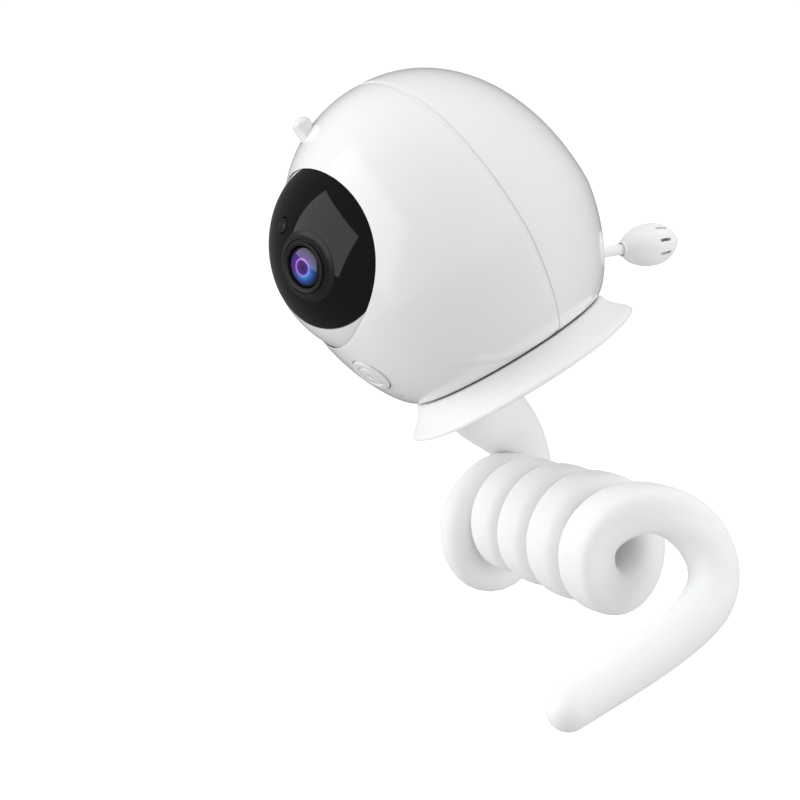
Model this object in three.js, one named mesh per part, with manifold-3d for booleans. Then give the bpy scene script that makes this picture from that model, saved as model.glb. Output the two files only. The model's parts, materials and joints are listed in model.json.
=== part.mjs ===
// Baby monitor camera: an egg-shaped head with a turning eyeball, on a flexible
// silicone arm that is wrapped around a rail. Millimetres, +Z up. The rail runs
// along X through the origin, and the head looks towards -Y.
import * as THREE from 'three';
import { mergeVertices } from 'three/addons/utils/BufferGeometryUtils.js';
import Module from 'manifold-3d';

const wasm = await Module();
wasm.setup();

// ---------------------------------------------------------------- dimensions
const CLEAR = 0.35; // gap between neighbouring pieces
const DEG = Math.PI / 180;

// head, in its own frame: origin at the centre of the base edge, Z up, -Y front
const HEAD = {
  radius: 45, baseRadius: 30.7, wideHeight: 30.8, height: 87.2,
  lowerPower: 1.47, upperPower: 2.12, wall: 2, seam: 0.6,
};
const HEAD_PLACE = new THREE.Vector3(-14, -15.5, 55.8);
const HEAD_TURN = { z: -6, x: 25.8, y: -18.9 }; // degrees, applied in that order

// eyeball, centred inside the head
const EYE = {
  centre: new THREE.Vector3(0, -17, 44.8), radius: 32.4, wall: 2.2,
  socket: 32.9, yaw: 26, tilt: 20, faceAngle: 43, coverAngle: 112,
};
const LENS = { down: 8, side: -3, bezelRadius: 9.7, ringRadius: 7.6, glassRadius: 4.6, barrelRadius: 6.4 };
const LIGHT_SENSOR = { up: 17, side: -11, radius: 2.1 };

// gimbal inside the eyeball
const SHAFT = 2;
const PAN = { gearRadius: 11.5, pinionRadius: 3.5, gearTeeth: 23, pinionTeeth: 7 };
const TILT = { gearRadius: 7.8, pinionRadius: 2.6, gearTeeth: 18, pinionTeeth: 6, away: 60 };

// controls and sensors on the shell
const BUTTON = { height: 15.5, radius: 6.1, thick: 1.9, travel: 0.8 };
const MIC = { height: 5.6, radius: 0.7 };
const NUB = { y: -19, radius: 2.8, top: 88.3 };
const SENSOR = { height: 9.5, lift: 6, stem: 1.65, start: 13.5, length: 19.5, radius: 6.6 };

// mount: dish, stud and arm
const DISH = { top: -1.2, topRadius: 31.1, rimRadius: 37.2, rim: -8.6, under: -9.4 };
const ROOT = { x: -16.4, y: -8.2, z: -9.4, share: 0.26 }; // where the arm leaves the dish
const STUD = { radius: 3.17, top: 7.6 };
const RAIL_RADIUS = 6;
const CORE = { radius: 2.5, bore: 2.9 };
const COIL = {
  turns: 5.17, frontX: -34.5, pitch: 12.1, spread: 0.32, radius: 5.7, swell: 0.34,
  slack: 11.2, slackEnd: 0.65, leaveX: 16,
};

// ------------------------------------------------------------------ materials
const paint = (color, roughness, metalness = 0) =>
  new THREE.MeshStandardMaterial({ color, roughness, metalness });
const gloss_white = () => paint(0xf1f1f2, 0.22);
const silicone = () => paint(0xf3f3f3, 0.6);
const black = () => paint(0x101012, 0.08);
const dark = () => paint(0x1c1c1f, 0.4);
const steel = () => paint(0xb5b8bb, 0.3, 1);
const brass = () => paint(0xc9a552, 0.32, 1);
const nylon = () => paint(0xe4e1d8, 0.5);
const board = () => paint(0x1f5b3a, 0.55);

// -------------------------------------------------------------------- helpers
function toSolid(geometry) {
  const plain = geometry.clone();
  plain.deleteAttribute('normal');
  plain.deleteAttribute('uv');
  const merged = mergeVertices(plain, 1e-4);
  return new wasm.Manifold(new wasm.Mesh({
    numProp: 3,
    vertProperties: new Float32Array(merged.attributes.position.array),
    triVerts: new Uint32Array(merged.index.array),
  }));
}

function toGeometry(solid) {
  const mesh = solid.getMesh();
  const geometry = new THREE.BufferGeometry();
  geometry.setAttribute('position', new THREE.BufferAttribute(mesh.vertProperties, 3));
  geometry.setIndex(new THREE.BufferAttribute(mesh.triVerts, 1));
  geometry.computeVertexNormals();
  return geometry;
}

const cut = (body, ...tools) => tools.reduce((a, b) => a.subtract(toSolid(b)), body);
const join = (body, ...adds) => adds.reduce((a, b) => a.add(toSolid(b)), body);

function lathe(points, segments = 32) {
  return new THREE.LatheGeometry(points.map(([r, y]) => new THREE.Vector2(r, y)), segments);
}

// lathe about Z: the profile is a list of [radius, z]
function latheZ(points, segments = 32) {
  return lathe(points, segments).rotateX(Math.PI / 2);
}

function discZ(radius, low, high, segments = 24) {
  return new THREE.CylinderGeometry(radius, radius, high - low, segments)
    .rotateX(Math.PI / 2).translate(0, 0, (low + high) / 2);
}

function ringZ(outer, inner, low, high, segments = 24) {
  return latheZ([[inner, low], [outer, low], [outer, high], [inner, high], [inner, low]], segments);
}

function discX(radius, low, high, segments = 20) {
  return new THREE.CylinderGeometry(radius, radius, high - low, segments)
    .rotateZ(-Math.PI / 2).translate((low + high) / 2, 0, 0);
}

function box(x0, x1, y0, y1, z0, z1) {
  return new THREE.BoxGeometry(x1 - x0, y1 - y0, z1 - z0)
    .translate((x0 + x1) / 2, (y0 + y1) / 2, (z0 + z1) / 2);
}

// a closed lathe band between two radii, from one polar angle to another, about -Y
function sphereBand(outer, inner, from, to, segments = 32, steps = 9) {
  const points = [];
  for (let i = 0; i <= steps; i += 1) {
    const a = (from + (to - from) * i / steps) * DEG;
    points.push([outer * Math.sin(a), -outer * Math.cos(a)]);
  }
  for (let i = steps; i >= 0; i -= 1) {
    const a = (from + (to - from) * i / steps) * DEG;
    points.push([inner * Math.sin(a), -inner * Math.cos(a)]);
  }
  if (from > 0) points.push(points[0]);
  return lathe(points, segments);
}

function gearZ(radius, teeth, bore, low, high) {
  const shape = new THREE.Shape();
  const depth = 0.9;
  for (let i = 0; i < teeth * 4; i += 1) {
    const a = (i + 0.5) / (teeth * 4) * 2 * Math.PI;
    const r = i % 4 < 2 ? radius + depth / 2 : radius - depth / 2;
    if (i === 0) shape.moveTo(r * Math.cos(a), r * Math.sin(a));
    else shape.lineTo(r * Math.cos(a), r * Math.sin(a));
  }
  shape.closePath();
  const hole = new THREE.Path();
  hole.absarc(0, 0, bore, 0, 2 * Math.PI, true);
  shape.holes.push(hole);
  return new THREE.ExtrudeGeometry(shape, { depth: high - low, bevelEnabled: false, curveSegments: 8 })
    .translate(0, 0, low);
}

// bends a straight lathe, whose axis runs along Y from 0 to 1, onto a curve
function bend(geometry, curve, steps) {
  const frames = curve.computeFrenetFrames(steps, false);
  const position = geometry.attributes.position;
  const point = new THREE.Vector3();
  for (let i = 0; i < position.count; i += 1) {
    const along = Math.min(Math.max(position.getY(i), 0), 1);
    const k = Math.round(along * steps);
    curve.getPointAt(along, point);
    point.addScaledVector(frames.normals[k], position.getX(i));
    point.addScaledVector(frames.binormals[k], -position.getZ(i));
    position.setXYZ(i, point.x, point.y, point.z);
  }
  return geometry;
}

// a sleeve with a bore, or a solid core when bore is 0; radiusAt takes 0..1
function armTube(curve, radiusAt, bore, steps, sides) {
  const points = [];
  if (bore === 0) points.push([0, 0]);
  for (let i = 0; i <= steps; i += 1) points.push([radiusAt(i / steps), i / steps]);
  if (bore === 0) points.push([0, 1]);
  for (let i = steps; bore > 0 && i >= 0; i -= 1) points.push([bore, i / steps]);
  if (bore > 0) points.push(points[0]);
  return bend(lathe(points, sides), curve, steps);
}

const root = new THREE.Group();
root.name = 'baby_monitor_camera';

function add(parent, name, geometry, material) {
  const mesh = new THREE.Mesh(geometry, material);
  mesh.name = name;
  parent.add(mesh);
  return mesh;
}

const head = new THREE.Group();
head.position.copy(HEAD_PLACE);
head.rotation.set(HEAD_TURN.x * DEG, HEAD_TURN.y * DEG, HEAD_TURN.z * DEG, 'ZXY');
root.add(head);

const yaw = new THREE.Group();
yaw.position.copy(EYE.centre);
yaw.rotation.z = EYE.yaw * DEG;
head.add(yaw);

const eye = new THREE.Group();
eye.rotation.x = -EYE.tilt * DEG;
yaw.add(eye);

// ----------------------------------------------------------------- head shell
function headRadius(z, inset = 0) {
  const radius = HEAD.radius - inset;
  const base = HEAD.baseRadius - inset;
  if (z <= HEAD.wideHeight) {
    const t = 1 - Math.max(z, 0) / HEAD.wideHeight;
    return base + (radius - base) * (1 - t ** HEAD.lowerPower) ** (1 / HEAD.lowerPower);
  }
  const t = (z - HEAD.wideHeight) / (HEAD.height - HEAD.wideHeight - inset);
  return radius * (1 - Math.min(t, 1) ** HEAD.upperPower) ** (1 / HEAD.upperPower);
}

function headProfile(inset, steps) {
  const points = [];
  for (let i = 0; i <= steps; i += 1) {
    const z = HEAD.wideHeight * i / steps;
    points.push([headRadius(z, inset), z]);
  }
  const top = HEAD.height - HEAD.wideHeight - inset;
  for (let i = 1; i <= steps; i += 1) {
    const z = HEAD.wideHeight + top * Math.sin(i / steps * Math.PI / 2);
    points.push([i === steps ? 0 : headRadius(z, inset), z]);
  }
  return points;
}

function headShell() {
  const outer = headProfile(0, 7);
  const inner = headProfile(HEAD.wall, 7).reverse();
  return toSolid(latheZ([...outer, ...inner, outer[0]], 40));
}

// outward direction of the lower shell on the front or the back, in the Y-Z plane
function wallAngle(z) {
  return Math.atan2(headRadius(z + 0.5) - headRadius(z - 0.5), 1);
}

// turns a piece made along Z so that its +Z points out of the wall at (side, z)
function onWall(geometry, z, side) {
  const angle = wallAngle(z);
  return geometry.rotateX(side < 0 ? Math.PI / 2 + angle : -Math.PI / 2 - angle)
    .translate(0, side * headRadius(z), z);
}

// the sensor's stem leaves the rear wall a little above square to it
const onStem = (geometry) => onWall(geometry.rotateX(SENSOR.lift * DEG), SENSOR.height, 1);

const socket = new THREE.SphereGeometry(EYE.socket, 32, 20)
  .translate(EYE.centre.x, EYE.centre.y, EYE.centre.z);
const POST = { x: 11, z: 34, radius: 2.8 };
const BRACKET_BACK = 19.4;

const frontHalf = box(-60, 60, -60, -HEAD.seam / 2, -1, 100);
const rearHalf = box(-60, 60, HEAD.seam / 2, 60, -1, 100);

let front = headShell().intersect(toSolid(frontHalf));
front = cut(front, socket,
  onWall(discZ(BUTTON.radius + CLEAR, -6, 3), BUTTON.height, -1),
  onWall(discZ(MIC.radius, -6, 3, 12), MIC.height, -1),
  discZ(NUB.radius + CLEAR, 70, 95, 20).translate(0, NUB.y, 0));
add(head, 'head_front_shell', toGeometry(front), gloss_white());

const SPEAKER_HEIGHT = 52;

function speakerHoles() {
  const holes = [];
  for (let row = -1; row <= 1; row += 1) {
    for (let col = -1; col <= 1; col += 1) {
      holes.push(new THREE.CylinderGeometry(0.9, 0.9, 20, 8)
        .translate(col * 4.5, 40, SPEAKER_HEIGHT + row * 4.5));
    }
  }
  return holes;
}

let rear = headShell().intersect(toSolid(rearHalf));
for (const side of [-1, 1]) {
  const post = new THREE.CylinderGeometry(POST.radius, POST.radius, 41.6 - BRACKET_BACK - CLEAR, 16)
    .translate(side * POST.x, (41.6 + BRACKET_BACK + CLEAR) / 2, POST.z);
  const pilot = new THREE.CylinderGeometry(1.3, 1.3, 10, 10)
    .translate(side * POST.x, BRACKET_BACK + 4, POST.z);
  rear = cut(join(rear, post), pilot);
}
rear = cut(rear, onStem(discZ(SENSOR.stem + CLEAR, -6, 3, 16)),
  box(-4.8 - CLEAR, 4.8 + CLEAR, 30, 45, 16.4, 20.6), ...speakerHoles());
add(head, 'head_rear_shell', toGeometry(rear), gloss_white());

// ------------------------------------------------- base cover, insert, screws
const COVER = { radius: 28, low: 0.6, high: 3 };
const SCREW_RING = 22;
const screwAngles = [90, 210, 330];

function coverHoles() {
  return screwAngles.map((a) => discZ(1.5, -1, 5, 12)
    .translate(SCREW_RING * Math.cos(a * DEG), SCREW_RING * Math.sin(a * DEG), 0));
}
add(head, 'head_base_cover', toGeometry(cut(toSolid(
  ringZ(COVER.radius, 4.6, COVER.low, COVER.high, 40)), ...coverHoles())), gloss_white());

screwAngles.forEach((a, i) => {
  const screw = latheZ([[0, 0.75], [1.15, 0.75], [1.15, 6.5], [0, 6.5]], 12);
  add(head, `base_cover_screw_${i + 1}`, screw.translate(
    SCREW_RING * Math.cos(a * DEG), SCREW_RING * Math.sin(a * DEG), 0), steel());
});

add(head, 'threaded_insert', ringZ(4.2, STUD.radius + CLEAR, 0.3, 9, 24), brass());

// --------------------------------------------------------- button, microphone
const buttonCap = latheZ([[0, -BUTTON.thick], [BUTTON.radius, -BUTTON.thick], [BUTTON.radius, -0.1],
  [BUTTON.radius - 0.5, 0.35], [0, 0.5]], 32);
const buttonGroove = ringZ(4, 3.4, 0.15, 2, 24);
const buttonGeometry = toGeometry(cut(toSolid(buttonCap), buttonGroove));
add(head, 'pair_button', onWall(buttonGeometry, BUTTON.height, -1), gloss_white());
add(head, 'button_switch', onWall(box(-2.2, 2.2, -1.6, 1.6, -4.1, -2.9), BUTTON.height, -1), dark());
add(head, 'microphone', onWall(discZ(2, -4.4, -2.5, 16), MIC.height, -1), steel());

// ------------------------------------------------------------------ top nub
const nubArc = [];
for (let i = 0; i <= 5; i += 1) {
  const a = i / 5 * Math.PI / 2;
  nubArc.push([NUB.radius * Math.cos(a), NUB.top - NUB.radius + NUB.radius * Math.sin(a)]);
}
nubArc[5][0] = 0;
add(head, 'antenna_nub', latheZ([[0, 84.6], [1.45, 84.6], [1.45, 80.2], [NUB.radius, 80.2], ...nubArc], 20)
  .translate(0, NUB.y, 0), gloss_white());
add(head, 'antenna_rod', discZ(1, 79.2, 84.2, 12).translate(0, NUB.y, 0), brass());

// ------------------------------------------------------- temperature sensor
const eggPoints = [];
for (let i = 0; i <= 12; i += 1) {
  const a = i / 12 * Math.PI;
  const fat = SENSOR.radius * (1 - 0.08 * Math.cos(a));
  eggPoints.push([Math.max(fat * Math.sin(a), SENSOR.stem + 2 * CLEAR),
    SENSOR.start + SENSOR.length / 2 * (1 - Math.cos(a))]);
}
eggPoints[0] = [SENSOR.stem + CLEAR, SENSOR.start + 0.1];
eggPoints[12][0] = 0;
const bulbEnd = SENSOR.start + 11.6;
function sensorSlots() {
  return [-38, 0, 38].map((turn) => box(3, 9, -0.5, 0.5, SENSOR.start + 10.4, SENSOR.start + 14.6)
    .rotateZ(turn * DEG));
}
const sensorTip = cut(toSolid(latheZ([...eggPoints, [0, bulbEnd], [SENSOR.stem + CLEAR, bulbEnd],
  eggPoints[0]], 28)), ...sensorSlots());
add(head, 'temperature_sensor_tip', onStem(toGeometry(sensorTip)), silicone());
add(head, 'temperature_sensor_stem', onStem(discZ(SENSOR.stem, -5, SENSOR.start + 6, 14)), silicone());
add(head, 'thermistor', onStem(discZ(1.2, SENSOR.start + 6.5, SENSOR.start + 10.8, 10)), dark());

// ------------------------------------------- boards, speaker and power inlet
const postBore = POST.radius + CLEAR;
const postHoles = [-1, 1].map((side) => new THREE.CylinderGeometry(postBore, postBore, 8, 16)
  .translate(side * POST.x, 30, POST.z));
add(head, 'main_board', toGeometry(cut(toSolid(box(-21, 21, 29, 30.6, 25, 46)), ...postHoles)), board());
const speaker = new THREE.CylinderGeometry(8.5, 7.5, 4.8, 24).translate(0, 33.4, SPEAKER_HEIGHT);
add(head, 'speaker', speaker, dark());
add(head, 'power_inlet', box(-4.5, 4.5, 31.5, 41.4, 16.9, 20.1), steel());

// ------------------------------------------------------- gimbal: fixed bracket
const SHELF = { low: -18.8, high: -16.8 };
const backPlate = BRACKET_BACK - EYE.centre.y;
const pinionAway = PAN.gearRadius + PAN.pinionRadius + 1;
let bracket = toSolid(box(-6, 6, 0, backPlate - 0.1, SHELF.low, SHELF.high));
bracket = join(bracket, discZ(7, SHELF.low, SHELF.high, 24),
  box(-14.5, 14.5, backPlate - 2.4, backPlate, -24, 2));
bracket = cut(bracket, discZ(SHAFT + CLEAR, -30, -10, 16),
  discZ(1.3, -30, -10, 12).translate(0, pinionAway, 0));
for (const side of [-1, 1]) {
  bracket = cut(bracket, new THREE.CylinderGeometry(1.5, 1.5, 8, 12)
    .translate(side * POST.x, backPlate, POST.z - EYE.centre.z));
}
const gimbal = new THREE.Group();
gimbal.position.copy(EYE.centre);
head.add(gimbal);
add(gimbal, 'eye_bracket', toGeometry(bracket), dark());
[-1, 1].forEach((side, i) => {
  const screw = lathe([[0, -1.6], [2.4, -1.6], [2.4, 0], [1.05, 0], [1.05, 7], [0, 7]], 12)
    .translate(side * POST.x, backPlate - 2.4 - CLEAR, POST.z - EYE.centre.z);
  add(gimbal, `bracket_screw_${i + 1}`, screw, steel());
});
const panMotor = discZ(5.6, SHELF.low - 5.8, SHELF.low - CLEAR, 20).translate(0, pinionAway, 0);
add(gimbal, 'pan_motor', panMotor, steel());

const panPinion = new THREE.Group();
panPinion.position.copy(EYE.centre).add(new THREE.Vector3(0, pinionAway, 0));
head.add(panPinion);
add(panPinion, 'pan_pinion', gearZ(PAN.pinionRadius, PAN.pinionTeeth, 0.9, SHELF.high + CLEAR, -14.4)
  .rotateZ(Math.PI / PAN.pinionTeeth), nylon());

// ------------------------------------------------------------- gimbal: yoke
const ARM = { inner: 23.6, outer: 26, half: 4 };
const panGear = gearZ(PAN.gearRadius, PAN.gearTeeth, SHAFT + CLEAR, SHELF.high + CLEAR, -14.4);
add(yaw, 'pan_gear', panGear, nylon());
let yoke = toSolid(box(-ARM.outer, ARM.outer, -ARM.half, ARM.half, -14, -12));
for (const side of [-1, 1]) {
  const low = Math.min(side * ARM.inner, side * ARM.outer);
  const high = Math.max(side * ARM.inner, side * ARM.outer);
  yoke = cut(join(yoke, box(low, high, -ARM.half, ARM.half, -12.5, 0), discX(ARM.half, low, high)),
    discX(SHAFT + CLEAR, side < 0 ? -30 : 20, side < 0 ? -20 : 30, 16));
}
yoke = cut(yoke, discZ(SHAFT + CLEAR, -20, -8, 16));
add(yaw, 'eye_yoke', toGeometry(yoke), dark());
add(yaw, 'pan_shaft', discZ(SHAFT, -20.5, -11, 16), steel());
const tiltAway = TILT.gearRadius + TILT.pinionRadius + 1;
const tiltY = tiltAway * Math.sin(TILT.away * DEG);
const tiltZ = -tiltAway * Math.cos(TILT.away * DEG);
add(yaw, 'tilt_motor', discX(5, 9, 19.8).translate(0, tiltY, tiltZ), steel());

const tiltPinion = new THREE.Group();
tiltPinion.position.set(0, tiltY, tiltZ);
yaw.add(tiltPinion);
add(tiltPinion, 'tilt_pinion', gearZ(TILT.pinionRadius, TILT.pinionTeeth, 0.7, 20.3, 22.3)
  .rotateZ(Math.PI / TILT.pinionTeeth).rotateY(Math.PI / 2), nylon());

// ----------------------------------------------------------------- eyeball
let ball = toSolid(sphereBand(EYE.radius, EYE.radius - EYE.wall, EYE.faceAngle + 0.6, EYE.coverAngle));
for (const side of [-1, 1]) {
  const low = side < 0 ? -30.7 : 26.5;
  ball = join(ball, discX(4.2, low, low + 4.2));
  ball = cut(ball, discX(SHAFT + CLEAR, side < 0 ? -29.9 : 26, side < 0 ? -26 : 29.9, 16));
  const pin = discX(SHAFT, side < 0 ? -29.5 : 20, side < 0 ? -22 : 29.5, 16);
  add(eye, side < 0 ? 'tilt_pin_right' : 'tilt_pin_left', pin, steel());
}
add(eye, 'eyeball_shell', toGeometry(ball), gloss_white());
const tiltGear = gearZ(TILT.gearRadius, TILT.gearTeeth, SHAFT + CLEAR, 20.3, 22.3).rotateY(Math.PI / 2);
add(eye, 'tilt_gear', tiltGear, nylon());

// turns a piece made along +Z so that it points out of the eye face
function onFace(geometry, up, side = 0) {
  return geometry.rotateX(Math.PI / 2 - up * DEG).rotateZ(side * DEG);
}
function onLens(geometry) {
  return onFace(geometry, -LENS.down, LENS.side);
}
const faceRadius = EYE.radius + 0.15;
const dome = cut(toSolid(sphereBand(faceRadius, faceRadius - 1.6, 0, EYE.faceAngle, 32, 6)),
  onLens(discZ(LENS.barrelRadius + CLEAR, 20, 40, 28)),
  onFace(discZ(LIGHT_SENSOR.radius + CLEAR, 20, 40, 16), LIGHT_SENSOR.up, LIGHT_SENSOR.side));
add(eye, 'eye_face_dome', toGeometry(dome), black());

const at = (rise) => faceRadius + rise;
const bezelBore = LENS.glassRadius + CLEAR;
const bezel = latheZ([[bezelBore, at(0.3)], [LENS.ringRadius, at(0.3)], [LENS.bezelRadius, at(-0.6)],
  [LENS.bezelRadius, at(-0.1)], [LENS.ringRadius, at(1)], [LENS.ringRadius - 0.5, at(0.7)],
  [LENS.glassRadius + 1, at(0.9)], [bezelBore, at(0.6)], [bezelBore, at(0.3)]], 36);
add(eye, 'lens_bezel', onLens(bezel), black());
add(eye, 'lens_barrel', onLens(ringZ(LENS.barrelRadius, bezelBore, 19, at(0), 28)), dark());
const glass = latheZ([[0, at(-3.4)], [LENS.glassRadius, at(-3.4)], [LENS.glassRadius, at(-0.6)],
  [LENS.glassRadius * 0.7, at(0.1)], [LENS.glassRadius * 0.35, at(0.4)], [0, at(0.5)]], 24);
add(eye, 'lens_glass', onLens(glass), paint(0x2a1a66, 0.05));
add(eye, 'image_sensor_board', onLens(box(-7, 7, -7, 7, 17, 18.5)), board());
const lightSensor = discZ(LIGHT_SENSOR.radius, at(-2.4), at(0.2), 16);
add(eye, 'light_sensor', onFace(lightSensor, LIGHT_SENSOR.up, LIGHT_SENSOR.side), dark());

const LED = { ring: 16.5, radius: 1.5, angles: [-35, 35, 145, 215] };
add(eye, 'infrared_led_board', ringZ(19.4, 12.5, 21, 22.2, 32).rotateX(Math.PI / 2), board());
LED.angles.forEach((a, i) => {
  const led = discZ(LED.radius, 22.55, 24.2, 12)
    .translate(LED.ring * Math.cos(a * DEG), LED.ring * Math.sin(a * DEG), 0).rotateX(Math.PI / 2);
  add(eye, `infrared_led_${i + 1}`, led, paint(0x3a1430, 0.1));
});

// ------------------------------------------------------------------- mount
const dishProfile = [[0, -6.6], [5.6, -6.6], [5.6, -4.4], [19.9, -4.4], [19.9, DISH.top],
  [DISH.topRadius, DISH.top], [DISH.topRadius + 1.6, -3.6], [DISH.topRadius + 3.8, -6.1],
  [DISH.rimRadius, -8.1], [DISH.rimRadius + 0.1, DISH.rim],
  [DISH.rimRadius - 0.5, DISH.under], [0, DISH.under]];
add(head, 'dish_plate', ringZ(19.5, STUD.radius + CLEAR, -4.1, -1.7, 32), steel());
add(head, 'mounting_stud', latheZ([[0, -6.3], [5.2, -6.3], [5.2, -4.5], [STUD.radius, -4.5],
  [STUD.radius, STUD.top], [0, STUD.top]], 20), steel());
add(head, 'swivel_washer', ringZ(12, 5, -0.95, 0.1, 32), dark());

// arm centre lines, in the frame of the rail
head.updateMatrixWorld(true);
const neckStart = new THREE.Vector3(ROOT.x, ROOT.y, ROOT.z).applyMatrix4(head.matrixWorld);
const neckWay = new THREE.Vector3(-0.46, 0.64, -0.61);

const smooth = (t) => {
  const x = Math.min(Math.max(t, 0), 1);
  return x * x * (3 - 2 * x);
};

// radius of the arm, by turns counted from the front of the first loop
const loopRadius = (loops) => COIL.radius + COIL.swell * loops;

// each loop is nearly flat: the arm moves along the rail while it passes over the top
function loopAdvance(loops) {
  const whole = Math.floor(loops);
  const stepped = whole + smooth((loops - whole) / 0.8);
  const mixed = 0.85 * stepped + 0.15 * loops;
  return COIL.pitch * mixed + COIL.spread * mixed * mixed;
}

class CoilCurve extends THREE.Curve {
  getPoint(t, target = new THREE.Vector3()) {
    const turn = t * COIL.turns;
    const loops = turn - 0.5;
    const easing = 1 - smooth((turn - 0.2) / (COIL.slackEnd - 0.2));
    const slack = COIL.slack * easing * (0.85 + 0.15 * smooth(turn * 4));
    const radius = RAIL_RADIUS + CLEAR + loopRadius(loops) + slack;
    const leave = COIL.leaveX * smooth((loops - 4) / 0.6);
    return target.set(
      COIL.frontX + loopAdvance(loops) + leave,
      radius * Math.cos(turn * 2 * Math.PI),
      -radius * Math.sin(turn * 2 * Math.PI),
    );
  }
}
const coilCurve = new CoilCurve();
coilCurve.arcLengthDivisions = 1200;
const coilStart = coilCurve.getPoint(0);
const coilEnd = coilCurve.getPoint(1);
const startWay = coilCurve.getTangent(0);
const endWay = coilCurve.getTangent(1);

const NECK = { top: 11.9, steps: 14, topHandle: 17, lowHandle: 26, gap: 0.6 };
const neckCurve = new THREE.CubicBezierCurve3(
  neckStart,
  neckStart.clone().addScaledVector(neckWay, NECK.topHandle),
  coilStart.clone().addScaledVector(startWay, -NECK.lowHandle),
  coilStart.clone().addScaledVector(startWay, -NECK.gap));
const tailTip = new THREE.Vector3(45, -51, -31);
const tailCurve = new THREE.CubicBezierCurve3(coilEnd.clone().addScaledVector(endWay, CLEAR),
  coilEnd.clone().addScaledVector(endWay, 14), tailTip.clone().add(new THREE.Vector3(0, 22, 5)), tailTip);

const neckRadius = (t) => NECK.top + (loopRadius(-0.5) - NECK.top) * t ** 1.3;

// a stretch of another curve, by shares of its length
class StretchCurve extends THREE.Curve {
  constructor(whole, from, to) {
    super();
    this.whole = whole;
    this.from = from;
    this.to = to;
  }

  getPoint(t, target = new THREE.Vector3()) {
    return this.whole.getPointAt(this.from + (this.to - this.from) * t, target);
  }
}

const TAIL = { start: loopRadius(COIL.turns - 0.5), end: 6, steps: 14, tip: 0.09 };
const tailRadius = (t) => {
  const plain = TAIL.start + (TAIL.end - TAIL.start) * t;
  const round = Math.max(0, (t - 1 + TAIL.tip) / TAIL.tip);
  return plain * Math.sqrt(Math.max(1 - round * round, 0));
};

// the top of the neck is part of the dish moulding, cut off below the steel plate
const rootCurve = new StretchCurve(neckCurve, 0, ROOT.share);
const toHead = head.matrixWorld.clone().invert();
const rootStub = armTube(rootCurve, (t) => neckRadius(t * ROOT.share), 0, 4, 16).applyMatrix4(toHead);
const rootBall = new THREE.SphereGeometry(NECK.top, 20, 14).translate(ROOT.x, ROOT.y, ROOT.z);
const rootBore = armTube(rootCurve, () => CORE.bore, 0, 4, 10).applyMatrix4(toHead);
const stub = cut(join(toSolid(rootStub), rootBall), box(-60, 60, -60, 60, -7, 30));
const dish = cut(toSolid(latheZ(dishProfile.reverse(), 40)).add(stub), rootBore);
add(head, 'mount_dish', toGeometry(dish), silicone());

const sleeveFrom = ROOT.share + 0.012;
const sleeveCurve = new StretchCurve(neckCurve, sleeveFrom, 1);
const sleeveRadius = (t) => neckRadius(sleeveFrom + (1 - sleeveFrom) * t);
add(root, 'neck_sleeve', armTube(sleeveCurve, sleeveRadius, CORE.bore, NECK.steps, 16), silicone());
const coilSleeve = armTube(coilCurve, (t) => loopRadius(t * COIL.turns - 0.5), CORE.bore, 76, 10);
add(root, 'coil_sleeve', coilSleeve, silicone());
const tailSolid = [[CORE.bore, 0]];
for (let i = 0; i <= TAIL.steps; i += 1) {
  const t = i < 10 ? i / 10 * (1 - TAIL.tip) : 1 - TAIL.tip + TAIL.tip * Math.sin((i - 9) / 5 * Math.PI / 2);
  tailSolid.push([i === TAIL.steps ? 0 : tailRadius(t), t]);
}
const boreEnd = 0.86;
tailSolid.push([0, boreEnd]);
for (let i = 10; i >= 0; i -= 1) tailSolid.push([CORE.bore, boreEnd * i / 10]);
add(root, 'tail_sleeve', bend(lathe(tailSolid, 16), tailCurve, 200), silicone());

add(root, 'neck_core', armTube(neckCurve, () => CORE.radius, 0, NECK.steps, 10), steel());
add(root, 'coil_core', armTube(coilCurve, () => CORE.radius, 0, 76, 6), steel());
const coreEnd = 0.82;
const tailCore = lathe([[0, 0], [CORE.radius, 0], ...[1, 2, 3, 4, 5, 6, 7, 8]
  .map((i) => [CORE.radius, coreEnd * i / 8]), [0, coreEnd]], 10);
add(root, 'tail_core', bend(tailCore, tailCurve, 200), steel());

export default root;
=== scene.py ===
"""Baby monitor camera: an egg-shaped head with a turning eyeball, on a bendable silicone arm
that is coiled round a rail. Shapes are worked out in millimetres and scaled to metres."""
import math

import bmesh
import bpy
from mathutils import Matrix, Vector
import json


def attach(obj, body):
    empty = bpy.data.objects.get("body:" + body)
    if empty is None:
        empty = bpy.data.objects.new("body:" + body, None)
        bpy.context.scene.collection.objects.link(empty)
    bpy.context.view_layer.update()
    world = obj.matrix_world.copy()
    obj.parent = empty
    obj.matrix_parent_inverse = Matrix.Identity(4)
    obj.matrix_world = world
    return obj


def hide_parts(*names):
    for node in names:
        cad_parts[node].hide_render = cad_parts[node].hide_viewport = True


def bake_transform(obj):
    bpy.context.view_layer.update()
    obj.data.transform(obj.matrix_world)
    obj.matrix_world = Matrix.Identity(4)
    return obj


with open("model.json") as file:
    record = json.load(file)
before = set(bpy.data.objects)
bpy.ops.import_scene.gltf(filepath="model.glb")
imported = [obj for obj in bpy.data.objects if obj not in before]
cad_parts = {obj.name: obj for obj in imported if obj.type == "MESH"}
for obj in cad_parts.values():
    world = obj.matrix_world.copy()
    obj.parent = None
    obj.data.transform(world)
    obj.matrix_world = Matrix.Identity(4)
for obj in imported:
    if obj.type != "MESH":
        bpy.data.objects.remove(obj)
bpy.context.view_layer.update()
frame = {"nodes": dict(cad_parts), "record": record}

MM = 0.001
TAU = 2 * math.pi

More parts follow.
